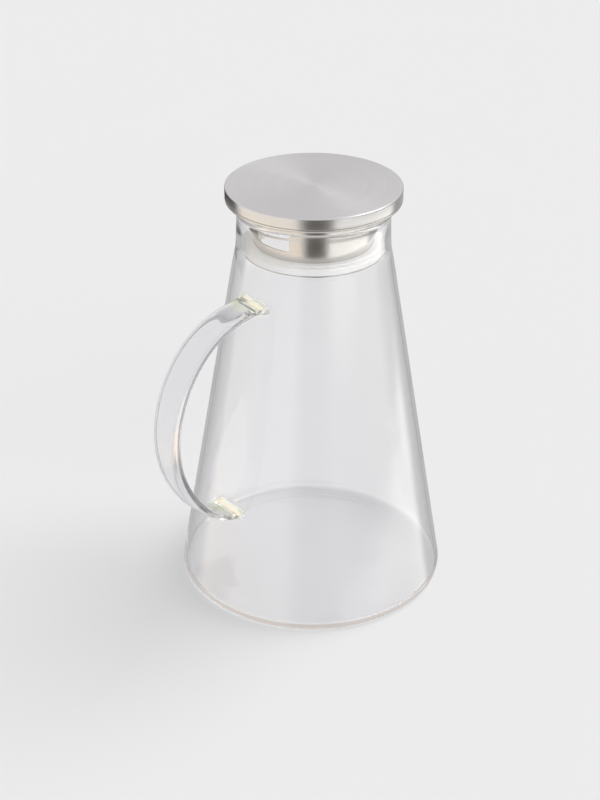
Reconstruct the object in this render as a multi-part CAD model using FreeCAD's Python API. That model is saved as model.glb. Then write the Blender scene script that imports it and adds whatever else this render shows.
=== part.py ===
import FreeCAD, Part
import math
import os

# Lidded glass water jug: a conical borosilicate body with a fused strap handle,
# and a stainless steel lid with a pouring collar and a silicone seal ring.
# Millimetres. Origin at the centre of the foot on the ground plane, +Z up.
# The handle lies along -X, the pouring lip along +X.

# ---- glass body ----
CONE_R0 = 72.69          # outer cone radius carried down to z = 0
CONE_SLOPE = 0.1694      # loss of radius per mm of height
WALL = 2.0               # wall thickness, measured square to the wall
FOOT_R = 69.4            # outer radius of the flat foot ring
FOOT_CORNER = 3.0        # outer corner radius between foot and wall
FOOT_IN_R = 60.0         # inner radius of the flat foot ring
PUNT = 1.3               # rise of the underside at the centre
FLOOR_T = 2.2            # floor thickness
FLOOR_CORNER = 2.6       # inner corner radius between floor and wall
NECK_IN_R = 37.4         # inner radius of the neck, where the seal runs
SHOULDER_Z = 180.0       # height at which the cone starts to turn into the neck
RIM_Z = 213.8            # top of the fire-polished rim
RIM_OUT_R = 40.0         # outer radius of the rim bead

# ---- pouring lip ----
LIP_REACH = 4.3          # how far the lip is pulled out past the rim
LIP_HALF_DEG = 32.0      # half of the sector that is pulled
LIP_START_Z = 198.0      # height at which the pull starts
LIP_SECTIONS = 17        # sections through the pulled sector
JOIN_TOL = 0.002         # the lofted lip meets the turned neck within this

# ---- handle ----
HANDLE_W = 18.0          # width of the strap
HANDLE_T = 4.3           # thickness of the strap
HANDLE_PATH = [          # control points of the centre line, (distance from axis, height)
    (41.5, 172.54), (68.38, 174.79), (97.36, 153.43), (106.69, 114.16),
    (95.82, 82.42), (75.19, 59.8), (61.0, 59.99),
]
WELD_DEPTH = 1.2         # how far the strap's ends sink into the body's wall
WELD_FLARE_W = 3.2       # extra half-width of the strap where it meets the body
WELD_FLARE_T = 2.6       # extra half-thickness there
WELD_FLARE_LEN = 7.0     # length over which the strap flares

# ---- lid ----
LID_R = 45.0
LID_TOP_Z = 225.0
SHEET = 0.7              # steel sheet thickness of cap and under plate
CAP_EDGE_R = 0.8         # outer edge radius of the cap
SEAM_Z = 219.05          # mid height of the seam between cap and under plate
SEAM_GAP = 0.3
UNDER_Z = 217.4          # underside of the under plate
UNDER_EDGE_R = 1.1       # rolled edge of the under plate
SPIGOT_TOP_Z = 221.2     # top of the under plate's flange inside the cap

# ---- collar ----
COLLAR_R = 30.9          # outer radius
COLLAR_T = 0.6
COLLAR_BOTTOM_Z = 189.9
FLANGE_R = 34.8          # out-turned flange that holds the seal ring up
WINDOW_MID_DEG = 182.8   # direction of the pouring window's middle
WINDOW_HALF_DEG = 18.4
WINDOW_Z = (200.3, 209.3)
WINDOW_CORNER_R = 2.2
STRAINER_HOLE_R = 1.15
STRAINER_COLUMNS = 9
STRAINER_PITCH_DEG = 7.2
STRAINER_ROWS_Z = (201.2, 204.8, 208.4)

# ---- silicone seal ring ----
SEAL_CLEAR = 0.05        # running clearance to the steel
SEAL_TOP_Z = 195.8
SEAL_BODY_R = 35.1
SEAL_STEP_R = 34.4
SEAL_FIN_R = 37.3
SEAL_FIN_Z = (194.35, 195.25)

V = FreeCAD.Vector
AXIS = (V(0, 0, 0), V(0, 0, 1))


def cone_out(z):
    return CONE_R0 - CONE_SLOPE * z


WALL_RUN = WALL * math.sqrt(1 + CONE_SLOPE ** 2)   # wall measured along the radius


def cone_in(z):
    return cone_out(z) - WALL_RUN


def rounded(points):
    """Edges of a closed polygon in the (radius, height) half-plane; a third number rounds that corner."""
    n = len(points)
    starts, ends, arcs = [], [], []
    for i in range(n):
        p = points[i]
        a, b, c = points[i - 1][:2], p[:2], points[(i + 1) % n][:2]
        r = p[2] if len(p) > 2 else 0.0
        if r <= 0:
            starts.append(b)
            ends.append(b)
            arcs.append(None)
            continue
        ua = (a[0] - b[0], a[1] - b[1])
        uc = (c[0] - b[0], c[1] - b[1])
        la, lc = math.hypot(*ua), math.hypot(*uc)
        ua, uc = (ua[0] / la, ua[1] / la), (uc[0] / lc, uc[1] / lc)
        half = math.acos(max(-1.0, min(1.0, ua[0] * uc[0] + ua[1] * uc[1]))) / 2
        run = r / math.tan(half)
        s = (b[0] + ua[0] * run, b[1] + ua[1] * run)
        e = (b[0] + uc[0] * run, b[1] + uc[1] * run)
        bis = (ua[0] + uc[0], ua[1] + uc[1])
        lb = math.hypot(*bis)
        d = r / math.sin(half)
        m = (b[0] + bis[0] / lb * (d - r), b[1] + bis[1] / lb * (d - r))
        starts.append(s)
        ends.append(e)
        arcs.append(m)
    edges = []
    for i in range(n):
        if arcs[i] is not None:
            edges.append(Part.Arc(at(starts[i]), at(arcs[i]), at(ends[i])).toShape())
        a, b = ends[i], starts[(i + 1) % n]
        if math.hypot(a[0] - b[0], a[1] - b[1]) > 1e-6:
            edges.append(Part.makeLine(at(a), at(b)))
    return edges


def at(p):
    return V(p[0], 0, p[1])


def turn(edges):
    """The solid of revolution of a closed profile about the Z axis."""
    face = Part.Face(Part.Wire(Part.__sortEdges__(edges)))
    solid = face.revolve(*AXIS, 360)
    if solid.ShapeType != "Solid":
        solid = Part.makeSolid(solid.Shells[0])
    if solid.Volume < 0:
        solid.reverse()
    return solid


def spline(points, start, end):
    c = Part.BSplineCurve()
    c.interpolate(Points=[at(p) for p in points], InitialTangent=V(*start), FinalTangent=V(*end))
    return c.toShape()


def corner(a, b, c, r):
    """Tangent points and mid point of the arc of radius r at corner b."""
    ua = (a[0] - b[0], a[1] - b[1])
    uc = (c[0] - b[0], c[1] - b[1])
    la, lc = math.hypot(*ua), math.hypot(*uc)
    ua, uc = (ua[0] / la, ua[1] / la), (uc[0] / lc, uc[1] / lc)
    half = math.acos(ua[0] * uc[0] + ua[1] * uc[1]) / 2
    run = r / math.tan(half)
    bis = (ua[0] + uc[0], ua[1] + uc[1])
    lb, d = math.hypot(*bis), r / math.sin(half)
    return (
        (b[0] + ua[0] * run, b[1] + ua[1] * run),
        (b[0] + bis[0] / lb * (d - r), b[1] + bis[1] / lb * (d - r)),
        (b[0] + uc[0] * run, b[1] + uc[1] * run),
    )


def rim_edges(pull):
    """The upper neck's profile from LIP_START_Z on the outside, over the rim, to LIP_START_Z on the inside, pulled outwards by up to pull."""
    def moved(p):
        t = max(0.0, (p[1] - LIP_START_Z) / (RIM_Z - LIP_START_Z))
        return (p[0] + pull * t * t, p[1])

    def lean(dr, dz, z):
        t = max(0.0, (z - LIP_START_Z) / (RIM_Z - LIP_START_Z))
        return (dr + dz * pull * 2 * t / (RIM_Z - LIP_START_Z), 0, dz)

    outside = [moved(p) for p in [(39.66, 198.0), (39.48, 202.0), (39.30, 206.0), (39.36, 209.0), (39.72, 211.2)]]
    rim_out = moved((RIM_OUT_R, 212.45))
    rim_top = moved(((RIM_OUT_R + NECK_IN_R + 0.2) / 2, RIM_Z))
    rim_in = moved((NECK_IN_R + 0.22, 212.35))
    inside = [moved(p) for p in [(NECK_IN_R, 210.0), (NECK_IN_R, 206.0), (NECK_IN_R, 202.0), (NECK_IN_R, LIP_START_Z)]]
    return [
        spline(outside, (-0.045, 0, 1), lean(0.32, 1, 211.2)),
        spline([outside[-1], moved((39.94, 211.9)), rim_out], lean(0.32, 1, 211.2), lean(0, 1, 212.45)),
        Part.Arc(at(rim_out), at(rim_top), at(rim_in)).toShape(),
        spline([rim_in, moved((NECK_IN_R + 0.06, 211.3)), inside[0]], lean(0, -1, 212.35), lean(0, -1, 210.0)),
        spline(inside, lean(0, -1, 210.0), (0, 0, -1)),
    ]


def glass_body():
    # outside: flat foot ring, corner, straight cone, curve into the neck
    s, m, e = corner((0, 0), (cone_out(0), 0), (cone_out(60), 60), FOOT_CORNER)
    outer_neck = [
        (cone_out(SHOULDER_Z), SHOULDER_Z), (41.30, 185.0), (40.72, 188.0),
        (40.15, 191.0), (39.84, 194.0), (39.66, LIP_START_Z),
    ]
    inner_neck = [
        (NECK_IN_R, 197.0), (37.44, 194.6), (37.74, 192.0), (38.38, 189.0),
        (39.26, 185.0), (cone_in(SHOULDER_Z), SHOULDER_Z),
    ]
    # inside: neck, cone, inner corner, floor
    fs, fm, fe = corner(
        (cone_in(60), 60), (cone_in(FLOOR_T), FLOOR_T), (0, FLOOR_T), FLOOR_CORNER
    )
    low_edges = [
        Part.makeLine(at((NECK_IN_R, LIP_START_Z)), at(inner_neck[0])),
        spline(inner_neck, (0, 0, -1), (CONE_SLOPE, 0, -1)),
        Part.makeLine(at(inner_neck[-1]), at(fs)),
        Part.Arc(at(fs), at(fm), at(fe)).toShape(),
        # the floor rises gently to the middle, and so does the underside
        spline([fe, (fe[0] * 0.5, FLOOR_T + PUNT * 0.62), (0, FLOOR_T + PUNT)], (-1, 0, 0), (-1, 0, 0)),
        Part.makeLine(at((0, FLOOR_T + PUNT)), at((0, PUNT))),
        spline([(0, PUNT), (FOOT_IN_R * 0.5, PUNT * 0.62), (FOOT_IN_R - 1.5, 0.12),
                (FOOT_IN_R, 0)], (1, 0, 0), (1, 0, -0.09)),
        Part.makeLine(at((FOOT_IN_R, 0)), at(s)),
        Part.Arc(at(s), at(m), at(e)).toShape(),
        Part.makeLine(at(e), at(outer_neck[0])),
        spline(outer_neck, (-CONE_SLOPE, 0, 1), (-0.045, 0, 1)),
    ]
    close = Part.makeLine(at((39.66, LIP_START_Z)), at((NECK_IN_R, LIP_START_Z)))
    lower = turn(low_edges + [close])
    # upper neck: plain all the way round except over the pulled sector
    ring = Part.Face(Part.Wire(Part.__sortEdges__(rim_edges(0) + [close])))
    ring.rotate(V(0, 0, 0), V(0, 0, 1), LIP_HALF_DEG)
    ring = ring.revolve(*AXIS, 360 - 2 * LIP_HALF_DEG)
    wires = []
    for k in range(LIP_SECTIONS):
        a = -LIP_HALF_DEG + 2 * LIP_HALF_DEG * k / (LIP_SECTIONS - 1)
        pull = LIP_REACH * math.cos(math.radians(90 * a / LIP_HALF_DEG)) ** 2
        w = Part.Wire(Part.__sortEdges__(rim_edges(pull) + [close]))
        w.rotate(V(0, 0, 0), V(0, 0, 1), a)
        wires.append(w)
    lip = Part.makeLoft(wires, True, False)
    return lower.fuse([ring, lip], JOIN_TOL)


def handle_frames(count):
    """Points and unit tangents along the strap's centre line, and the share of its length at each."""
    curve = Part.BSplineCurve()
    poles = [V(-x, 0, z) for x, z in HANDLE_PATH]
    inner = len(poles) - 4
    knots = [0.0] + [(i + 1) / (inner + 1) for i in range(inner)] + [1.0]
    curve.buildFromPolesMultsKnots(poles, [4] + [1] * inner + [4], knots, False, 3)
    total = curve.length()
    out = []
    for i in range(count):
        s = total * i / (count - 1)
        u = curve.parameterAtDistance(s, curve.FirstParameter) if 0 < i < count - 1 else (0.0 if i == 0 else 1.0)
        t = V(*curve.tangent(u)[0]) if isinstance(curve.tangent(u), tuple) else curve.tangent(u)
        out.append((V(*curve.value(u)), t.normalize(), s, total - s))
    return out, total


def section(p, t, half_w, half_t, power=3.0, points=28):
    """A closed strap section: a superellipse square to the centre line."""
    n = V(t.z, 0, -t.x)
    pts = []
    for k in range(points):
        a = 2 * math.pi * k / points
        c, s = math.cos(a), math.sin(a)
        y = half_w * math.copysign(abs(c) ** (2 / power), c)
        h = half_t * math.copysign(abs(s) ** (2 / power), s)
        pts.append(p + V(0, y, 0) + n * h)
    c = Part.BSplineCurve()
    c.interpolate(Points=pts, PeriodicFlag=True)
    return Part.Wire([c.toShape()])


def glass_handle():
    frames, total = handle_frames(41)
    wires = []
    for p, t, from_top, from_foot in frames:
        # distance from the body's outer wall, negative inside the wall
        gap = (-p.x - cone_out(p.z)) / math.sqrt(1 + CONE_SLOPE ** 2)
        f = max(0.0, 1.0 - max(gap, 0.0) / WELD_FLARE_LEN) ** 2.4
        wires.append(section(p, t, HANDLE_W / 2 + WELD_FLARE_W * 0.5 * f, HANDLE_T / 2 + WELD_FLARE_T * 0.5 * f))
    strap = Part.makeLoft(wires, True, False)
    # the strap's ends stop inside the wall: what would reach the water space is cut away
    inside = Part.makeCone(
        cone_out(40) - WELD_DEPTH * 1.015, cone_out(200) - WELD_DEPTH * 1.015, 160, V(0, 0, 40)
    )
    return strap.cut(inside)


def lid_cap():
    low = SEAM_Z + SEAM_GAP / 2
    return turn(rounded([
        (0, LID_TOP_Z), (LID_R, LID_TOP_Z, CAP_EDGE_R), (LID_R, low, 0.12),
        (LID_R - SHEET, low), (LID_R - SHEET, LID_TOP_Z - SHEET, 0.25), (0, LID_TOP_Z - SHEET),
    ]))


def lid_under_plate():
    low = SEAM_Z - SEAM_GAP / 2
    r_in = LID_R - SHEET
    return turn(rounded([
        (0, UNDER_Z), (LID_R, UNDER_Z, UNDER_EDGE_R), (LID_R, low, 0.12),
        (r_in, low), (r_in, SPIGOT_TOP_Z), (r_in - SHEET, SPIGOT_TOP_Z),
        (r_in - SHEET, UNDER_Z + SHEET, 0.4), (0, UNDER_Z + SHEET),
    ]))


def slot_tool(mid_deg, half_deg, z0, z1, r_corner):
    """A bar with rounded corners that cuts a window through one side of the collar."""
    half = COLLAR_R * math.radians(half_deg)
    # flat outline whose width, seen from the axis, spans the stated angle on the sleeve
    half = COLLAR_R * math.sin(math.radians(half_deg))
    p = [(-half, z0), (half, z0), (half, z1), (-half, z1)]
    edges = []
    for i in range(4):
        s, m, e = corner(p[i - 1], p[i], p[(i + 1) % 4], r_corner)
        edges.append(Part.Arc(V(0, s[0], s[1]), V(0, m[0], m[1]), V(0, e[0], e[1])).toShape())
        n = corner(p[i], p[(i + 1) % 4], p[(i + 2) % 4], r_corner)[0]
        edges.append(Part.makeLine(V(0, e[0], e[1]), V(0, n[0], n[1])))
    bar = Part.Face(Part.Wire(Part.__sortEdges__(edges))).extrude(V(20, 0, 0))
    bar.translate(V(COLLAR_R - 12, 0, 0))
    bar.rotate(V(0, 0, 0), V(0, 0, 1), mid_deg)
    return bar


def lid_collar():
    z0, z1 = COLLAR_BOTTOM_Z, UNDER_Z
    r_in = COLLAR_R - COLLAR_T
    sleeve = turn(rounded([
        (r_in, z1), (r_in, z0, 0.9), (FLANGE_R, z0, 0.15), (FLANGE_R, z0 + COLLAR_T, 0.15),
        (COLLAR_R, z0 + COLLAR_T, 0.3), (COLLAR_R, z1),
    ]))
    sleeve = sleeve.cut(slot_tool(WINDOW_MID_DEG, WINDOW_HALF_DEG, *WINDOW_Z, WINDOW_CORNER_R))
    holes = []
    for row, z in enumerate(STRAINER_ROWS_Z):
        count = STRAINER_COLUMNS - (row % 2)
        for k in range(count):
            a = WINDOW_MID_DEG + 180 + STRAINER_PITCH_DEG * (k - (count - 1) / 2)
            d = V(math.cos(math.radians(a)), math.sin(math.radians(a)), 0)
            holes.append(Part.makeCylinder(STRAINER_HOLE_R, 6, d * (COLLAR_R - 4) + V(0, 0, z), d))
    return sleeve.cut(Part.makeCompound(holes))


def seal_ring():
    r_in = COLLAR_R + SEAL_CLEAR
    z0 = COLLAR_BOTTOM_Z + COLLAR_T + SEAL_CLEAR
    return turn(rounded([
        (r_in, z0, 0.35), (SEAL_BODY_R, z0, 0.5), (SEAL_BODY_R, SEAL_FIN_Z[0] - 0.35, 0.3),
        (SEAL_FIN_R, SEAL_FIN_Z[0], 0.3), (SEAL_FIN_R, SEAL_FIN_Z[1], 0.3),
        (SEAL_STEP_R, SEAL_FIN_Z[1] + 0.1, 0.1), (SEAL_STEP_R, SEAL_TOP_Z, 0.2), (r_in, SEAL_TOP_Z, 0.2),
    ]))


NODES = {
    "glass_body": glass_body,
    "glass_handle": glass_handle,
    "lid_cap": lid_cap,
    "lid_under_plate": lid_under_plate,
    "lid_collar": lid_collar,
    "seal_ring": seal_ring,
}

os.makedirs("parts", exist_ok=True)
for name, build in NODES.items():
    shape = build()
    if len(shape.Solids) == 1:
        shape = shape.Solids[0]
    b = shape.BoundBox
    print(
        f"{name}: {shape.ShapeType} solids {len(shape.Solids)} valid {shape.isValid()} "
        f"volume {shape.Volume:.1f} x {b.XMin:.2f} {b.XMax:.2f} y {b.YMin:.2f} {b.YMax:.2f} z {b.ZMin:.2f} {b.ZMax:.2f}"
    )
    shape.exportStep(f"parts/{name}.step")
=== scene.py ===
import math

import bmesh
import bpy
import numpy as np
from mathutils import Matrix, Vector


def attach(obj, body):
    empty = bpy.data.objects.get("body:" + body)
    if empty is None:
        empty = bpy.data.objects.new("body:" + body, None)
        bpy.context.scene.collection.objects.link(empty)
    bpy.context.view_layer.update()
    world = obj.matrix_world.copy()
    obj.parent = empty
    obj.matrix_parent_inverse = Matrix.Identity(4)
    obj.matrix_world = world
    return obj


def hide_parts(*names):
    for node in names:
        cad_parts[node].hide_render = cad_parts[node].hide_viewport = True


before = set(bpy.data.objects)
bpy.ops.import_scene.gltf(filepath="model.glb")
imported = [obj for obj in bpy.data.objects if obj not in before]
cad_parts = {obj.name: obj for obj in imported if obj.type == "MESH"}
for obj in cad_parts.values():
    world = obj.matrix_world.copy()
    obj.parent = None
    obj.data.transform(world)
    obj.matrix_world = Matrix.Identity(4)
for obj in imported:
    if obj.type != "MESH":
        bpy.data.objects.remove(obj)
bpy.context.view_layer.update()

# ------------------------------------------------------------------ dimensions, mm, as in the CAD frame
CONE_R0, CONE_SLOPE, WALL = 72.69, 0.1694, 2.0
FOOT_CORNER, FOOT_IN_R, PUNT, FLOOR_T, FLOOR_CORNER = 3.0, 60.0, 1.3, 2.2, 2.6
NECK_IN_R, SHOULDER_Z, RIM_Z, RIM_OUT_R = 37.4, 180.0, 213.8, 40.0
LIP_REACH, LIP_HALF_DEG, LIP_START_Z = 4.3, 32.0, 198.0
HANDLE_W, HANDLE_T = 18.0, 4.3
HANDLE_PATH = [(41.5, 172.54), (68.38, 174.79), (97.36, 153.43), (106.69, 114.16),
               (95.82, 82.42), (75.19, 59.8), (61.0, 59.99)]
LID_R, LID_TOP_Z, SHEET, CAP_EDGE_R, SEAM_Z, SEAM_GAP = 45.0, 225.0, 0.7, 0.8, 219.05, 0.3
UNDER_Z, UNDER_EDGE_R, SPIGOT_TOP_Z = 217.4, 1.1, 221.2
COLLAR_R, COLLAR_T, COLLAR_BOTTOM_Z, FLANGE_R = 30.9, 0.6, 189.9, 34.8
WINDOW_MID_DEG, WINDOW_HALF_DEG, WINDOW_Z, WINDOW_CORNER_R = 182.8, 18.4, (200.3, 209.3), 2.2
STRAINER_HOLE_R, STRAINER_COLUMNS, STRAINER_PITCH_DEG = 1.15, 9, 7.2
STRAINER_ROWS_Z = (201.2, 204.8, 208.4)
SEAL_CLEAR, SEAL_TOP_Z, SEAL_BODY_R, SEAL_STEP_R, SEAL_FIN_R = 0.05, 195.8, 35.1, 34.4, 37.3
SEAL_FIN_Z = (194.35, 195.25)
MM = 0.001
VIEW_TURN = math.radians(-46.28)  # the camera's side-to-side direction in the jug's frame


def cone_out(z):
    return CONE_R0 - CONE_SLOPE * z


def cone_in(z):
    return cone_out(z) - WALL * math.sqrt(1 + CONE_SLOPE ** 2)


# ------------------------------------------------------------------ curve helpers
def unit(v):
    v = np.asarray(v, float)
    return v / np.linalg.norm(v)


def spline(points, start, end, per=8):
    """Cubic spline through points with chord-length spacing and given end directions."""
    p = np.asarray(points, float)
    h = np.linalg.norm(np.diff(p, axis=0), axis=1)
    n = len(p)
    a = np.zeros((n, n))
    b = np.zeros((n, p.shape[1]))
    a[0, 0] = a[-1, -1] = 1
    b[0], b[-1] = unit(start), unit(end)
    for i in range(1, n - 1):
        a[i, i - 1], a[i, i], a[i, i + 1] = h[i], 2 * (h[i - 1] + h[i]), h[i - 1]
        b[i] = 3 * (h[i] * (p[i] - p[i - 1]) / h[i - 1] + h[i - 1] * (p[i + 1] - p[i]) / h[i])
    m = np.linalg.solve(a, b)
    out = [p[0]]
    for i in range(n - 1):
        for k in range(1, per + 1):
            t = k / per
            out.append((2 * t ** 3 - 3 * t ** 2 + 1) * p[i] + (t ** 3 - 2 * t ** 2 + t) * h[i] * m[i]
                       + (-2 * t ** 3 + 3 * t ** 2) * p[i + 1] + (t ** 3 - t ** 2) * h[i] * m[i + 1])
    return [tuple(q) for q in out]


def arc3(a, m, b, n):
    """Points on the circle through a, m and b, from a to b."""
    (ax, ay), (mx, my), (bx, by) = a, m, b
    d = 2 * (ax * (my - by) + mx * (by - ay) + bx * (ay - my))
    ux = ((ax * ax + ay * ay) * (my - by) + (mx * mx + my * my) * (by - ay) + (bx * bx + by * by) * (ay - my)) / d
    uy = ((ax * ax + ay * ay) * (bx - mx) + (mx * mx + my * my) * (ax - bx) + (bx * bx + by * by) * (mx - ax)) / d
    r = math.hypot(ax - ux, ay - uy)
    t0, tm, t1 = (math.atan2(y - uy, x - ux) for x, y in (a, m, b))
    turn = 2 * math.pi
    up = (t1 - t0) % turn
    if (tm - t0) % turn > up:
        up -= turn
    return [(ux + r * math.cos(t0 + up * k / n), uy + r * math.sin(t0 + up * k / n)) for k in range(n + 1)]


def corner_arc(a, b, c, r, n):
    ua, uc = unit(np.subtract(a, b)), unit(np.subtract(c, b))
    half = math.acos(max(-1, min(1, float(ua @ uc)))) / 2
    run, d = r / math.tan(half), r / math.sin(half)
    bis = unit(ua + uc)
    s, m, e = b + ua * run, b + bis * (d - r), b + uc * run
    return arc3(tuple(s), tuple(m), tuple(e), n)


def rounded(points, n=6):
    """A closed polyline whose corners with a third number are rounded by it."""
    out = []
    k = len(points)
    for i in range(k):
        p = points[i]
        if len(p) < 3 or p[2] <= 0:
            out.append(tuple(p[:2]))
        else:
            out += corner_arc(np.array(points[i - 1][:2], float), np.array(p[:2], float),
                              np.array(points[(i + 1) % k][:2], float), p[2], n)
    return out


def refine(points, longest, closed=True):
    """The same polyline with no piece longer than longest."""
    out = []
    k = len(points)
    for i in range(k if closed else k - 1):
        a, b = np.array(points[i], float), np.array(points[(i + 1) % k], float)
        steps = max(1, math.ceil(np.linalg.norm(b - a) / longest))
        out += [tuple(a + (b - a) * j / steps) for j in range(steps)]
    if not closed:
        out.append(tuple(points[-1]))
    return out


# ------------------------------------------------------------------ mesh helpers
def new_object(name, verts, faces, smooth=True):
    mesh = bpy.data.meshes.new(name)
    mesh.from_pydata([tuple(v) for v in verts], [], [tuple(f) for f in faces])
    mesh.validate()
    bm = bmesh.new()
    bm.from_mesh(mesh)
    bmesh.ops.recalc_face_normals(bm, faces=bm.faces)
    bm.to_mesh(mesh)
    bm.free()
    for p in mesh.polygons:
        p.use_smooth = smooth
    mesh.update()
    obj = bpy.data.objects.new(name, mesh)
    bpy.context.scene.collection.objects.link(obj)
    return obj


def lathe(name, profile, segments=288, move=None):
    """A closed profile (radius, height), mm, turned about Z. Points on the axis become single vertices.
    move(radius, height, angle) may shift a point."""
    verts, rows, faces = [], [], []
    for r, z in profile:
        if r < 1e-6:
            rows.append([len(verts)])
            verts.append((0.0, 0.0, z * MM))
            continue
        row = []
        for j in range(segments):
            a = 2 * math.pi * j / segments
            rr, zz = move(r, z, a) if move else (r, z)
            row.append(len(verts))
            verts.append((rr * math.cos(a) * MM, rr * math.sin(a) * MM, zz * MM))
        rows.append(row)
    count = len(rows)
    for i in range(count):
        a, b = rows[i], rows[(i + 1) % count]
        if len(a) == 1 and len(b) == 1:
            continue
        for j in range(segments):
            k = (j + 1) % segments
            if len(a) == 1:
                faces.append((a[0], b[j], b[k]))
            elif len(b) == 1:
                faces.append((a[j], b[0], a[k]))
            else:
                faces.append((a[j], b[j], b[k], a[k]))
    return new_object(name, verts, faces)


def boolean(obj, tool, operation):
    mod = obj.modifiers.new("cut", "BOOLEAN")
    mod.operation, mod.solver, mod.object = operation, "EXACT", tool
    dg = bpy.context.evaluated_depsgraph_get()
    mesh = bpy.data.meshes.new_from_object(obj.evaluated_get(dg), depsgraph=dg)
    obj.modifiers.remove(mod)
    old = obj.data
    mesh.name = obj.name
    obj.data = mesh
    bpy.data.meshes.remove(old)
    data = tool.data
    bpy.data.objects.remove(tool)
    bpy.data.meshes.remove(data)


def finish_mesh(obj, angle=None):
    for p in obj.data.polygons:
        p.use_smooth = True
    if angle is not None:
        obj.data.set_sharp_from_angle(angle=math.radians(angle))


# ------------------------------------------------------------------ glass: body and fused handle
def lip_share(z):
    return max(0.0, (z - LIP_START_Z) / (RIM_Z - LIP_START_Z)) ** 2


def pull_lip(r, z, a):
    a = (a + math.pi) % (2 * math.pi) - math.pi
    d = math.degrees(abs(a))
    if z <= LIP_START_Z or d >= LIP_HALF_DEG:
        return r, z
    return r + LIP_REACH * math.cos(math.radians(90 * d / LIP_HALF_DEG)) ** 2 * lip_share(z), z


def glass_profile():
    base = corner_arc(np.array([0, 0.]), np.array([cone_out(0), 0.]), np.array([cone_out(60), 60.]), FOOT_CORNER, 12)
    outer_neck = [(cone_out(SHOULDER_Z), SHOULDER_Z), (41.30, 185.0), (40.72, 188.0), (40.15, 191.0),
                  (39.84, 194.0), (39.66, 198.0)]
    upper = [(39.66, 198.0), (39.48, 202.0), (39.30, 206.0), (39.36, 209.0), (39.72, 211.2)]
    rim_out, rim_in = (RIM_OUT_R, 212.45), (NECK_IN_R + 0.22, 212.35)
    inner_neck = [(NECK_IN_R, 197.0), (37.44, 194.6), (37.74, 192.0), (38.38, 189.0), (39.26, 185.0),
                  (cone_in(SHOULDER_Z), SHOULDER_Z)]
    inner_corner = corner_arc(np.array([cone_in(60), 60.]), np.array([cone_in(FLOOR_T), FLOOR_T]),
                              np.array([0, FLOOR_T]), FLOOR_CORNER, 16)
    fe = inner_corner[-1]
    p = spline([(0, PUNT), (FOOT_IN_R * 0.5, PUNT * 0.62), (FOOT_IN_R - 1.5, 0.12), (FOOT_IN_R, 0)], (1, 0), (1, -0.09), 10)
    p += refine([p[-1], base[0]], 1.2, False)[1:]
    p += base[1:]
    p += refine([base[-1], outer_neck[0]], 3.0, False)[1:]
    p += spline(outer_neck, (-CONE_SLOPE, 1), (-0.045, 1), 4)[1:]
    p += spline(upper, (-0.045, 1), (0.32, 1), 4)[1:]
    p += spline([upper[-1], (39.94, 211.9), rim_out], (0.32, 1), (0, 1), 3)[1:]
    p += arc3(rim_out, ((RIM_OUT_R + NECK_IN_R + 0.2) / 2, RIM_Z), rim_in, 16)[1:]
    p += spline([rim_in, (NECK_IN_R + 0.06, 211.3), (NECK_IN_R, 210.0)], (0, -1), (0, -1), 3)[1:]
    p += refine([(NECK_IN_R, 210.0), inner_neck[0]], 1.0, False)[1:]
    p += spline(inner_neck, (0, -1), (CONE_SLOPE, -1), 4)[1:]
    p += refine([inner_neck[-1], inner_corner[0]], 3.0, False)[1:]
    p += inner_corner[1:]
    p += spline([fe, (fe[0] * 0.5, FLOOR_T + PUNT * 0.62), (0, FLOOR_T + PUNT)], (-1, 0), (-1, 0), 12)[1:]
    return [(max(0.0, float(r)), float(z)) for r, z in p]


def bspline(poles, count):
    """Points and unit directions on a clamped uniform cubic B-spline, evenly spaced along it."""
    poles = np.asarray(poles, float)
    n = len(poles)
    knots = np.concatenate([np.zeros(4), np.arange(1, n - 3) / (n - 3), np.ones(4)])

    def value(u):
        u = min(max(u, 0.0), 1 - 1e-9)
        k = int(np.searchsorted(knots, u, side="right") - 1)
        d = [poles[j + k - 3].copy() for j in range(4)]
        for r in range(1, 4):
            for j in range(3, r - 1, -1):
                i = j + k - 3
                w = (u - knots[i]) / (knots[i + 4 - r] - knots[i])
                d[j] = (1 - w) * d[j - 1] + w * d[j]
        return d[3]

    fine = np.array([value(u) for u in np.linspace(0, 1, 1500)])
    s = np.concatenate([[0], np.cumsum(np.linalg.norm(np.diff(fine, axis=0), axis=1))])
    want = np.linspace(0, s[-1], count)
    pts = np.stack([np.interp(want, s, fine[:, i]) for i in range(fine.shape[1])], 1)
    tan = np.gradient(pts, axis=0)
    return pts, tan / np.linalg.norm(tan, axis=1)[:, None]


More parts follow.
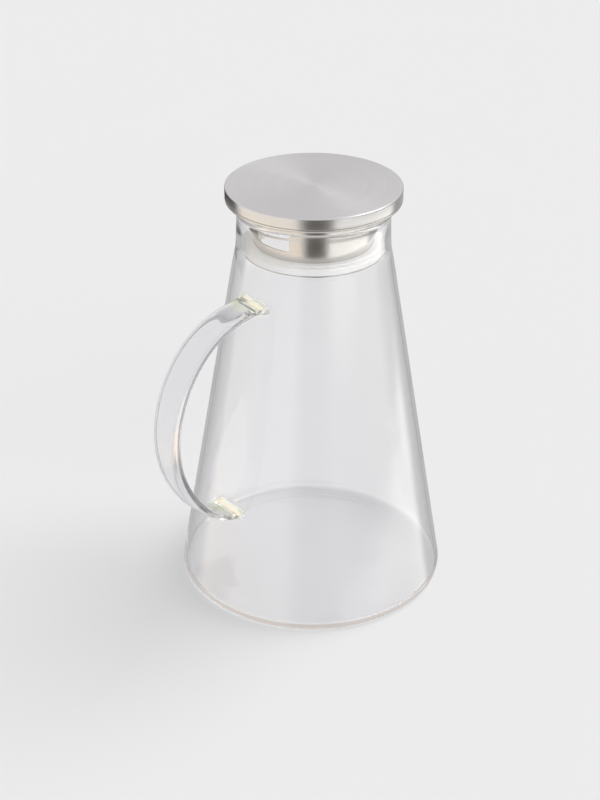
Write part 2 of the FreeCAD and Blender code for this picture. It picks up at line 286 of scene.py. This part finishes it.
def strap(name, depth=1.2, around=56, along=170):
    """The handle: a flat glass strap that thickens where it melts into the wall at both ends."""
    pts, tan = bspline(HANDLE_PATH, 900)
    lines = np.zeros((900, around, 3))
    ang = 2 * math.pi * np.arange(around) / around
    c, s = np.cos(ang), np.sin(ang)
    power = 2 / 3
    sy, sh = np.sign(c) * np.abs(c) ** power, np.sign(s) * np.abs(s) ** power
    run = math.sqrt(1 + CONE_SLOPE ** 2)
    for i in range(900):
        (rho, z), (tr, tz) = pts[i], tan[i]
        gap = (rho - cone_out(z)) / run
        f = max(0.0, 1 - max(gap, 0.0) / 7.0) ** 2.4
        hw = HANDLE_W / 2 + 1.6 * f
        ht = HANDLE_T / 2 + 1.3 * f
        nr, nz = -tz, tr
        lines[i, :, 0] = -(rho + nr * sh * ht)
        lines[i, :, 1] = sy * hw
        lines[i, :, 2] = z + nz * sh * ht
    verts = np.zeros((along, around, 3))
    for k in range(around):
        line = lines[:, k]
        rad = np.hypot(line[:, 0], line[:, 1])
        d = (rad - (CONE_R0 - CONE_SLOPE * line[:, 2])) / run + depth
        mid = 450
        i0 = max([i for i in range(mid) if d[i] < 0], default=0)
        i1 = min([i for i in range(mid, 900) if d[i] < 0], default=899)
        t0 = i0 + (-d[i0] / (d[i0 + 1] - d[i0]) if d[i0] < 0 else 0)
        t1 = i1 - 1 + (d[i1 - 1] / (d[i1 - 1] - d[i1]) if d[i1] < 0 else 1)
        # denser towards both ends, where the strap flares
        u = np.linspace(0, 1, along)
        u = u + 0.11 * np.sin(2 * np.pi * u) * -1
        want = t0 + (t1 - t0) * u
        for ax in range(3):
            verts[:, k, ax] = np.interp(want, np.arange(900), line[:, ax])
    flat = [tuple(v * MM) for row in verts for v in row]
    faces = []
    for i in range(along - 1):
        for k in range(around):
            m = (k + 1) % around
            faces.append((i * around + k, i * around + m, (i + 1) * around + m, (i + 1) * around + k))
    for row, flip in ((0, False), (along - 1, True)):
        centre = len(flat)
        flat.append(tuple(verts[row].mean(0) * MM))
        for k in range(around):
            m = (k + 1) % around
            f = (row * around + k, row * around + m, centre)
            faces.append(f[::-1] if flip else f)
    return new_object(name, flat, faces)


glass = lathe("jug_glass", glass_profile(), 320, pull_lip)
boolean(glass, strap("strap_tool"), "UNION")
finish_mesh(glass)

# ------------------------------------------------------------------ lid
def cap_profile():
    low = SEAM_Z + SEAM_GAP / 2
    top = refine([(0, LID_TOP_Z), (LID_R - CAP_EDGE_R, LID_TOP_Z)], 3.0, False)
    edge = corner_arc(np.array([0, LID_TOP_Z]), np.array([LID_R, LID_TOP_Z]), np.array([LID_R, low]), CAP_EDGE_R, 10)
    rest = rounded([(LID_R, LID_TOP_Z - 3), (LID_R, low, 0.14), (LID_R - SHEET, low, 0.08),
                    (LID_R - SHEET, LID_TOP_Z - SHEET, 0.3), (0, LID_TOP_Z - SHEET), (0, LID_TOP_Z - SHEET)], 5)
    inside = refine([rest[-3], rest[-1]], 6.0, False)
    return top[:-1] + edge + rest[:-2][0:1] + rest[1:-3] + inside


def clean(profile):
    out = []
    for p in profile:
        p = (max(0.0, float(p[0])), float(p[1]))
        if not out or math.hypot(p[0] - out[-1][0], p[1] - out[-1][1]) > 1e-5:
            out.append(p)
    return out


cap = lathe("lid_cap_shell", clean(cap_profile()), 256)
finish_mesh(cap, 35)

low = SEAM_Z - SEAM_GAP / 2
r_in = LID_R - SHEET
plate_profile = rounded([
    (0, UNDER_Z), (20, UNDER_Z), (COLLAR_R - 1, UNDER_Z), (COLLAR_R + 0.4, UNDER_Z), (38, UNDER_Z), (LID_R, UNDER_Z, UNDER_EDGE_R),
    (LID_R, low, 0.14), (r_in, low), (r_in, SPIGOT_TOP_Z), (r_in - SHEET, SPIGOT_TOP_Z),
    (r_in - SHEET, UNDER_Z + SHEET, 0.4), (20, UNDER_Z + SHEET), (0, UNDER_Z + SHEET),
], 6)
plate = lathe("lid_base_plate", clean(plate_profile), 256)
finish_mesh(plate, 35)


def collar_profile():
    z0, z1, ri = COLLAR_BOTTOM_Z, UNDER_Z, COLLAR_R - COLLAR_T
    return clean(refine(rounded([
        (ri, z1), (ri, z0, 0.9), (FLANGE_R, z0, 0.22), (FLANGE_R, z0 + COLLAR_T, 0.22),
        (COLLAR_R, z0 + COLLAR_T, 0.3), (COLLAR_R, z1),
    ], 6), 3.0))


def window_tool():
    """A bar with rounded corners, long in X, that cuts the pouring window."""
    half = COLLAR_R * math.sin(math.radians(WINDOW_HALF_DEG))
    z0, z1 = WINDOW_Z
    loop = rounded([(-half, z0, WINDOW_CORNER_R), (half, z0, WINDOW_CORNER_R),
                    (half, z1, WINDOW_CORNER_R), (-half, z1, WINDOW_CORNER_R)], 10)
    return prism("window_tool", loop, COLLAR_R - 12, COLLAR_R + 8, WINDOW_MID_DEG)


def prism(name, loop, x0, x1, turn_deg):
    a = math.radians(turn_deg)
    verts = []
    for x in (x0, x1):
        for y, z in loop:
            verts.append(((x * math.cos(a) - y * math.sin(a)) * MM, (x * math.sin(a) + y * math.cos(a)) * MM, z * MM))
    n = len(loop)
    faces = [tuple(range(n))[::-1], tuple(range(n, 2 * n))]
    faces += [(i, (i + 1) % n, n + (i + 1) % n, n + i) for i in range(n)]
    return new_object(name, verts, faces)


collar = lathe("lid_collar_sleeve", collar_profile(), 288)
boolean(collar, window_tool(), "DIFFERENCE")
for row, z in enumerate(STRAINER_ROWS_Z):
    count = STRAINER_COLUMNS - (row % 2)
    for k in range(count):
        a = WINDOW_MID_DEG + 180 + STRAINER_PITCH_DEG * (k - (count - 1) / 2)
        loop = [(STRAINER_HOLE_R * math.cos(t), z + STRAINER_HOLE_R * math.sin(t))
                for t in np.linspace(0, 2 * math.pi, 25)[:-1]]
        boolean(collar, prism("hole_tool", loop, COLLAR_R - 4, COLLAR_R + 2, a), "DIFFERENCE")
finish_mesh(collar, 35)

# ------------------------------------------------------------------ silicone ring
z0 = COLLAR_BOTTOM_Z + COLLAR_T + SEAL_CLEAR
ri = COLLAR_R + SEAL_CLEAR
seal_profile = rounded([
    (ri, z0, 0.35), (SEAL_BODY_R, z0, 0.6), (SEAL_BODY_R, SEAL_FIN_Z[0] - 0.45, 0.5),
    (SEAL_FIN_R, SEAL_FIN_Z[0] + 0.1, 0.35), (SEAL_FIN_R, SEAL_FIN_Z[1], 0.35),
    (SEAL_STEP_R, SEAL_FIN_Z[1] + 0.1, 0.15), (SEAL_STEP_R, SEAL_TOP_Z, 0.25), (ri, SEAL_TOP_Z, 0.25),
], 6)
seal = lathe("silicone_ring", clean(seal_profile), 256)
finish_mesh(seal, 50)


# ------------------------------------------------------------------ shader helpers
class Net:
    """Short names for building shader nodes."""

    def __init__(self, tree):
        self.t = tree
        tree.nodes.clear()

    def node(self, kind, **values):
        n = self.t.nodes.new(kind)
        for k, v in values.items():
            setattr(n, k, v)
        return n

    def put(self, socket, value):
        if isinstance(value, bpy.types.NodeSocket):
            self.t.links.new(value, socket)
        elif value is not None:
            socket.default_value = value

    def math(self, op, a, b=None, c=None, clamp=False):
        n = self.node("ShaderNodeMath", operation=op, use_clamp=clamp)
        for s, v in zip(n.inputs, (a, b, c)):
            self.put(s, v)
        return n.outputs[0]

    def vmath(self, op, a, b=None, out=0):
        n = self.node("ShaderNodeVectorMath", operation=op)
        self.put(n.inputs[0], a)
        self.put(n.inputs[1], b)
        return n.outputs[out]

    def step(self, value, lo, hi, a=0.0, b=1.0):
        """a below lo, b above hi, smooth between."""
        n = self.node("ShaderNodeMapRange", interpolation_type="SMOOTHERSTEP")
        self.put(n.inputs["Value"], value)
        n.inputs["From Min"].default_value, n.inputs["From Max"].default_value = lo, hi
        n.inputs["To Min"].default_value, n.inputs["To Max"].default_value = a, b
        return n.outputs["Result"]

    def mix(self, f, a, b, blend="MIX"):
        n = self.node("ShaderNodeMix", data_type="RGBA", blend_type=blend)
        self.put(n.inputs[0], f)
        self.put(n.inputs[6], a)
        self.put(n.inputs[7], b)
        return n.outputs[2]

    def noise(self, vector, scale, detail=2.0, rough=0.5, out="Fac"):
        n = self.node("ShaderNodeTexNoise")
        self.put(n.inputs["Vector"], vector)
        n.inputs["Scale"].default_value = scale
        n.inputs["Detail"].default_value = detail
        n.inputs["Roughness"].default_value = rough
        return n.outputs[out]

    def combine(self, x, y, z):
        n = self.node("ShaderNodeCombineXYZ")
        for s, v in zip(n.inputs, (x, y, z)):
            self.put(s, v)
        return n.outputs[0]

    def split(self, v):
        n = self.node("ShaderNodeSeparateXYZ")
        self.put(n.inputs[0], v)
        return n.outputs

    def bump(self, height, strength, distance):
        n = self.node("ShaderNodeBump")
        n.inputs["Strength"].default_value = strength
        n.inputs["Distance"].default_value = distance
        self.put(n.inputs["Height"], height)
        return n.outputs[0]


def material(name):
    m = bpy.data.materials.new(name)
    m.use_nodes = True
    return m, Net(m.node_tree)


def principled(net, **values):
    p = net.node("ShaderNodeBsdfPrincipled")
    for k, v in values.items():
        net.put(p.inputs[k.replace("_", " ")], v)
    return p


def output(net, surface, volume=None):
    o = net.node("ShaderNodeOutputMaterial")
    net.t.links.new(surface, o.inputs["Surface"])
    if volume is not None:
        net.t.links.new(volume, o.inputs["Volume"])


# ------------------------------------------------------------------ materials
def glass_material():
    m, n = material("clear_borosilicate")
    pos = n.node("ShaderNodeTexCoord").outputs["Object"]
    weight = n.node("ShaderNodeLayerWeight")
    weight.inputs["Blend"].default_value = 0.5
    facing = weight.outputs["Facing"]
    # hand-worked glass: a slow, faint waviness, and a hint of olive where the strap was melted on
    wave = n.noise(pos, 26.0, 2.0, 0.45)
    x, y, z = n.split(pos)
    rad = n.math("SQRT", n.math("ADD", n.math("MULTIPLY", x, x), n.math("MULTIPLY", y, y)))
    beyond = n.math("SUBTRACT", n.math("MULTIPLY_ADD", z, CONE_SLOPE, rad), CONE_R0 * MM)  # outside the wall, m
    weld = None
    for centre, reach in (((-0.0455, 0.0, 0.1725), 0.0125), ((-0.0640, 0.0, 0.0598), 0.0135)):
        d = n.vmath("DISTANCE", pos, centre, "Value")
        one = n.step(d, reach * 0.6, reach, 1.0, 0.0)
        weld = one if weld is None else n.math("MAXIMUM", weld, one)
    blotch = n.step(n.noise(pos, 420.0, 3.0, 0.6), 0.40, 0.62)
    weld = n.math("MULTIPLY", weld, n.math("MULTIPLY_ADD", blotch, 0.75, 0.25))
    weld = n.math("MULTIPLY", weld, n.step(beyond, 0.0001, 0.0008))
    strap_part = n.step(beyond, 0.006, 0.013)
    # painted shade: the strap is tinted a darker lavender grey than the body glass, standing in for the dark
    # surroundings it refracts; cloud noise varies it
    cloud = n.noise(pos, 34.0, 2.0, 0.5)
    strap_painted_shade = n.mix(cloud, (0.86, 0.855, 0.885, 1), (0.90, 0.893, 0.915, 1))
    tint = n.mix(strap_part, (0.970, 0.968, 0.977, 1), strap_painted_shade)
    # painted shade: the strap's near edge is tinted dark where its lower half turns back towards the jug, standing in
    # for the dark mirror image seen there
    geo = n.node("ShaderNodeNewGeometry")
    towards = n.step(n.split(n.node("ShaderNodeTexCoord").outputs["Normal"])[1], -0.85, -0.35, 1.0, 0.0)
    painted_dark_inner_face = n.math("MULTIPLY", towards, n.math("SUBTRACT", 1.0, geo.outputs["Backfacing"]))
    painted_dark_inner_face = n.math("MULTIPLY", n.math("MULTIPLY", painted_dark_inner_face, strap_part), n.math("MULTIPLY", n.step(z, 0.062, 0.076), n.step(z, 0.094, 0.118, 1.0, 0.0)))
    tint = n.mix(painted_dark_inner_face, tint, (0.16, 0.16, 0.162, 1))
    edge = n.node("ShaderNodeLayerWeight")
    edge.inputs[0].default_value = 0.5
    green = n.mix(n.step(edge.outputs["Facing"], 0.35, 0.75), (0.85, 0.92, 0.71, 1), (0.50, 0.62, 0.25, 1))
    tint = n.mix(weld, tint, green)
    p = principled(n, Base_Color=tint, Roughness=n.math("MULTIPLY_ADD", wave, 0.012, 0.0), IOR=1.47,
                   Transmission_Weight=1.0, Normal=n.bump(wave, 0.25, 0.0008))
    path = n.node("ShaderNodeLightPath")
    # light caught inside the wall leaves it here, greened by its long way through the glass
    leak = n.node("ShaderNodeBsdfTransparent")
    high = n.step(z, 0.15, 0.19)
    n.put(leak.inputs["Color"], n.mix(high, (0.92, 0.90, 0.88, 1), (0.86, 0.86, 0.84, 1)))
    caught = n.node("ShaderNodeMixShader")
    n.put(caught.inputs[0], n.math("GREATER_THAN", path.outputs["Ray Depth"], 13.5))
    n.t.links.new(p.outputs[0], caught.inputs[1])
    n.t.links.new(leak.outputs[0], caught.inputs[2])
    # shadows: almost none under the open wall, firmer where the wall turns into the thick foot
    clear = n.node("ShaderNodeBsdfTransparent")
    shade = n.mix(n.step(z, 0.0, 0.05), (0.70, 0.70, 0.705, 1), (0.93, 0.93, 0.933, 1))
    level = n.math("ABSOLUTE", n.split(n.node("ShaderNodeTexCoord").outputs["Normal"])[2])
    shade = n.mix(n.step(level, 0.55, 0.85), shade, (0.985, 0.985, 0.986, 1))
    n.put(clear.inputs["Color"], n.mix(path.outputs["Is Shadow Ray"], (0.99, 0.99, 0.99, 1), shade))
    both = n.math("MAXIMUM", path.outputs["Is Shadow Ray"], path.outputs["Is Diffuse Ray"])
    mixed = n.node("ShaderNodeMixShader")
    n.put(mixed.inputs[0], both)
    n.t.links.new(caught.outputs[0], mixed.inputs[1])
    n.t.links.new(clear.outputs[0], mixed.inputs[2])
    output(n, mixed.outputs[0])
    return m


def around(net):
    """(radius from the axis, angle round it, height) of the shaded point, metres and radians."""
    x, y, z = net.split(net.node("ShaderNodeTexCoord").outputs["Object"])
    r = net.math("SQRT", net.math("ADD", net.math("MULTIPLY", x, x), net.math("MULTIPLY", y, y)))
    return r, net.math("ARCTAN2", y, x), z


def steel_material(name, colour, rough, side_rough, aniso, groove, tint_noise=0.03):
    """Stainless steel brushed round the lid's axis: streaks follow the circle, on flat and upright faces alike."""
    m, n = material(name)
    r, a, z = around(n)
    track = n.combine(n.math("MULTIPLY", r, 5200.0), n.math("MULTIPLY", z, 5200.0), n.math("MULTIPLY", a, 1.3))
    fine = n.noise(track, 1.0, 3.0, 0.65)
    coarse_track = n.combine(n.math("MULTIPLY", r, 900.0), n.math("MULTIPLY", z, 900.0), n.math("MULTIPLY", a, 0.6))
    coarse = n.noise(coarse_track, 1.0, 2.0, 0.5)
    mixed = n.math("MULTIPLY_ADD", coarse, 0.45, n.math("MULTIPLY", fine, 0.55))
    dark = tuple(c * (1 - tint_noise) for c in colour) + (1,)
    light = tuple(min(1, c * (1 + tint_noise)) for c in colour) + (1,)
    base = n.mix(n.step(mixed, 0.3, 0.7), dark, light)
    up = n.split(n.node("ShaderNodeTexCoord").outputs["Normal"])[2]
    flat = n.step(n.math("ABSOLUTE", up), 0.35, 0.8)
    level = n.math("MULTIPLY_ADD", flat, rough - side_rough, side_rough)
    roughness = n.math("MULTIPLY", level, n.math("MULTIPLY_ADD", mixed, 0.3, 0.85))
    tangent = n.node("ShaderNodeTangent", direction_type="RADIAL", axis="Z")
    p = principled(n, Base_Color=base, Metallic=1.0, Roughness=roughness, Anisotropic=aniso,
                   Anisotropic_Rotation=0.25, Tangent=tangent.outputs[0], Normal=n.bump(fine, groove, 0.00002))
    output(n, p.outputs[0])
    return m


def silicone_material():
    m, n = material("white_silicone")
    pos = n.node("ShaderNodeTexCoord").outputs["Object"]
    grain = n.noise(pos, 900.0, 3.0, 0.6)
    soft = n.noise(pos, 60.0, 2.0, 0.5)
    base = n.mix(soft, (0.86, 0.855, 0.835, 1), (0.93, 0.925, 0.91, 1))
    # painted light: the ring glows faintly all over and more on its upward faces, lightening the top face that sits
    # in the lid's shade
    painted_top_glow = n.step(n.split(n.node("ShaderNodeTexCoord").outputs["Normal"])[2], 0.4, 0.8)
    p = principled(n, Base_Color=base, Roughness=n.math("MULTIPLY_ADD", grain, 0.15, 0.36), IOR=1.41,
                   Subsurface_Weight=0.35, Subsurface_Scale=0.0018, Normal=n.bump(grain, 0.15, 0.0001),
                   Emission_Color=base, Emission_Strength=n.math("MULTIPLY_ADD", painted_top_glow, 0.19, 0.04))
    p.inputs["Subsurface Radius"].default_value = (1.0, 0.95, 0.85)
    output(n, p.outputs[0])
    return m


glass.data.materials.clear()
glass.data.materials.append(glass_material())
turned = steel_material("turned_steel", (0.71, 0.70, 0.695), 0.34, 0.25, 0.72, 0.22)
satin = steel_material("satin_steel", (0.75, 0.73, 0.70), 0.25, 0.24, 0.35, 0.10)
for obj, mat in ((cap, turned), (plate, satin), (collar, satin), (seal, silicone_material())):
    obj.data.materials.clear()
    obj.data.materials.append(mat)

# the CAD nodes these stand for get the same finishes
for node, mat in (("glass_body", glass.data.materials[0]), ("glass_handle", glass.data.materials[0]),
                  ("lid_cap", turned), ("lid_under_plate", satin), ("lid_collar", satin),
                  ("seal_ring", seal.data.materials[0])):
    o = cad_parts[node]
    for s in o.material_slots:
        s.material = mat

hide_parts("glass_body", "glass_handle")
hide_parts("lid_cap")
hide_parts("lid_under_plate")
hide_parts("lid_collar")
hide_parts("seal_ring")
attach(glass, "vessel")
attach(seal, "seal")
for o in (cap, plate, collar):
    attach(o, "lid")

# ------------------------------------------------------------------ stage
FLOOR_TONE = 0.855  # linear value of the plain backdrop


def floor_object():
    verts, faces = [(0, 0, -0.0002)], []
    radii = [0.05, 0.1, 0.2, 0.4, 0.8, 1.6, 3.0, 6.0, 12.0]
    seg = 96
    for r in radii:
        for j in range(seg):
            a = 2 * math.pi * j / seg
            verts.append((r * math.cos(a), r * math.sin(a), -0.0002))
    for j in range(seg):
        faces.append((0, 1 + j, 1 + (j + 1) % seg))
    for i in range(len(radii) - 1):
        for j in range(seg):
            k = (j + 1) % seg
            faces.append((1 + i * seg + j, 1 + (i + 1) * seg + j, 1 + (i + 1) * seg + k, 1 + i * seg + k))
    return new_object("floor", verts, faces)


floor = floor_object()
m, n = material("pale_paper")
pos = n.node("ShaderNodeTexCoord").outputs["Object"]
tone = n.mix(n.noise(pos, 9.0, 3.0, 0.5), (0.868, 0.868, 0.868, 1), (0.872, 0.872, 0.872, 1))
p = principled(n, Base_Color=tone, Roughness=1.0, Specular_IOR_Level=0.0)
# mirror images on the jug show the studio round the table, so the paper lets them through
path = n.node("ShaderNodeLightPath")
mirrored = n.math("GREATER_THAN", path.outputs["Glossy Depth"], 0.5)
n.t.links.new(p.outputs[0], (both := n.node("ShaderNodeMixShader")).inputs[1])
n.t.links.new(n.node("ShaderNodeBsdfTransparent").outputs[0], both.inputs[2])
n.put(both.inputs[0], mirrored)
output(n, both.outputs[0])
floor.data.materials.append(m)



def card(name, lo_deg, hi_deg, radius, z_lo, z_hi, colour, steps=24):
    """An upright strip round the jug that only mirror images can see."""
    verts, faces = [], []
    for k in range(steps + 1):
        a = math.radians(lo_deg + (hi_deg - lo_deg) * k / steps)
        x = np.array([math.cos(VIEW_TURN), math.sin(VIEW_TURN)]) * math.sin(a) * radius
        y = np.array([math.sin(VIEW_TURN), -math.cos(VIEW_TURN)]) * math.cos(a) * radius
        verts += [(*(x + y), z_lo), (*(x + y), z_hi)]
    for k in range(steps):
        faces.append((2 * k, 2 * k + 2, 2 * k + 3, 2 * k + 1))
    obj = new_object(name, verts, faces)
    m, n = material(name + "_paint")
    path = n.node("ShaderNodeLightPath")
    glow = n.node("ShaderNodeEmission")
    grain = n.noise(n.node("ShaderNodeTexCoord").outputs["Object"], 30.0)
    n.put(glow.inputs[0], n.mix(grain, tuple(c * 0.9 for c in colour) + (1,), tuple(c * 1.1 for c in colour) + (1,)))
    both = n.node("ShaderNodeMixShader")
    n.put(both.inputs[0], n.math("GREATER_THAN", path.outputs["Glossy Depth"], 0.5))
    n.t.links.new(n.node("ShaderNodeBsdfTransparent").outputs[0], both.inputs[1])
    n.t.links.new(glow.outputs[0], both.inputs[2])
    output(n, both.outputs[0])
    m.cycles.emission_sampling = "NONE"
    obj.data.materials.append(m)
    obj.visible_shadow = False
    return obj


card("dark_card", -160, -106, 0.20, 0.138, 0.19, (0.045, 0.044, 0.042))

world = bpy.data.worlds.new("studio")
bpy.context.scene.world = world
world.use_nodes = True
n = Net(world.node_tree)
d = n.node("ShaderNodeTexCoord").outputs["Generated"]
right = (math.cos(VIEW_TURN), math.sin(VIEW_TURN), 0.0)
ahead = (-math.sin(VIEW_TURN), math.cos(VIEW_TURN), 0.0)
u = n.vmath("DOT_PRODUCT", d, right, "Value")
v = n.vmath("DOT_PRODUCT", d, ahead, "Value")
w = n.split(d)[2]
# direction round the jug, degrees, 0 towards the camera and positive to its right
az = n.math("MULTIPLY", n.math("ARCTAN2", u, n.math("MULTIPLY", v, -1.0)), 180 / math.pi)


def band(lo, hi, soft):
    return n.math("MULTIPLY", n.step(az, lo - soft, lo + soft), n.step(az, hi - soft, hi + soft, 1.0, 0.0))


low = n.step(w, -0.36, -0.28, 1.0, 0.0)  # 1 for what upright faces mirror, 0 for what the sloping wall mirrors
mid = n.step(w, -0.22, -0.12)
env = n.mix(band(-112, -19, 9), (0.42, 0.42, 0.42, 1), n.mix(low, (1.0, 0.985, 0.97, 1), (1.14, 1.03, 0.88, 1)))
env = n.mix(n.math("MULTIPLY", n.step(az, -20, -3), n.step(az, 6, 34, 1.0, 0.0)), env,
            n.mix(mid, (0.10, 0.09, 0.08, 1), (0.22, 0.21, 0.20, 1)))
dim = n.mix(band(20, 62, 8), (0.38, 0.38, 0.39, 1), n.mix(mid, (0.28, 0.28, 0.29, 1), (1.0, 1.0, 1.0, 1)))
lower = n.step(w, -0.60, -0.47, 1.0, 0.0)
lit = n.mix(lower, (1.62, 1.60, 1.54, 1), (0.22, 0.215, 0.20, 1))
env = n.mix(band(27, 122, 8), env, n.mix(low, dim, lit))
env = n.mix(n.math("MAXIMUM", n.step(az, -158, -140, 1.0, 0.0), n.step(az, 140, 158)), env, (0.50, 0.50, 0.50, 1))
env = n.mix(n.step(w, -0.80, -0.62, 1.0, 0.0), env, (0.78, 0.78, 0.78, 1))
above = (0.80, 0.79, 0.80, 1)


def softbox(env, x, y, z, inner, outer, colour):
    """A round glow in the direction x right, y ahead, z up as the camera sees them."""
    way = unit(np.array(right) * x + np.array(ahead) * y + np.array([0, 0, z]))
    c = n.vmath("DOT_PRODUCT", d, tuple(way), "Value")
    return n.mix(n.step(c, math.cos(math.radians(outer)), math.cos(math.radians(inner))), env, colour)


sky = softbox(above, 0.60, 0.22, 0.77, 8, 26, (3.4, 3.4, 3.4, 1))
env = n.mix(n.step(w, 0.02, 0.28), env, sky)
path = n.node("ShaderNodeLightPath")
mirrored = n.math("GREATER_THAN", path.outputs["Glossy Depth"], 0.5)
fill = n.mix(n.step(w, 0.0, 0.75), (0.82, 0.82, 0.82, 1), (0.29, 0.29, 0.292, 1))
fill = softbox(fill, 0.60, -0.72, 0.38, 12, 42, (2.2, 2.2, 2.2, 1))
colour = n.mix(path.outputs["Is Diffuse Ray"], (FLOOR_TONE, FLOOR_TONE, FLOOR_TONE, 1), fill)
colour = n.mix(mirrored, colour, env)
bg = n.node("ShaderNodeBackground")
n.put(bg.inputs["Color"], colour)
out = n.node("ShaderNodeOutputWorld")
n.t.links.new(bg.outputs[0], out.inputs["Surface"])
world.cycles.sampling_method = "NONE"

sun = bpy.data.lights.new("soft_key", "SUN")
sun.energy = 1.6
sun.angle = math.radians(42)
key = bpy.data.objects.new("soft_key", sun)
bpy.context.scene.collection.objects.link(key)
# the key stands behind and to the right of the jug, as the camera sees it
to_key = Vector(right) * 0.62 + Vector(ahead) * 0.30 + Vector((0, 0, 1.0))
key.rotation_mode = "QUATERNION"
key.rotation_quaternion = to_key.to_track_quat("Z", "Y")
key.visible_glossy = False

# ------------------------------------------------------------------ camera
cam_data = bpy.data.cameras.new("camera")
cam_data.lens = 1586.9 * 36 / 800
cam_data.sensor_width = 36
cam_data.sensor_fit = "AUTO"
cam_data.clip_start, cam_data.clip_end = 0.01, 60
cam = bpy.data.objects.new("camera", cam_data)
bpy.context.scene.collection.objects.link(cam)
pitch, yaw, roll = math.radians(29.43), math.radians(-0.438), math.radians(0.488)
fwd = Vector((0, math.cos(pitch), -math.sin(pitch)))
rgt = Vector((1, 0, 0))
up = rgt.cross(fwd)
fwd2, rgt2 = fwd * math.cos(yaw) + rgt * math.sin(yaw), rgt * math.cos(yaw) - fwd * math.sin(yaw)
rgt3, up3 = rgt2 * math.cos(roll) + up * math.sin(roll), up * math.cos(roll) - rgt2 * math.sin(roll)
spin = Matrix.Rotation(VIEW_TURN, 4, "Z")
place = Matrix((
    (rgt3.x, up3.x, -fwd2.x, 0.0), (rgt3.y, up3.y, -fwd2.y, -0.7465), (rgt3.z, up3.z, -fwd2.z, 0.5218), (0, 0, 0, 1)))
cam.matrix_world = spin @ place
bpy.context.scene.camera = cam
scene = bpy.context.scene
scene.view_settings.view_transform = "Standard"
scene.cycles.max_bounces = 40
scene.cycles.glossy_bounces = 40
scene.cycles.transmission_bounces = 40
scene.cycles.diffuse_bounces = 3
scene.cycles.transparent_max_bounces = 40
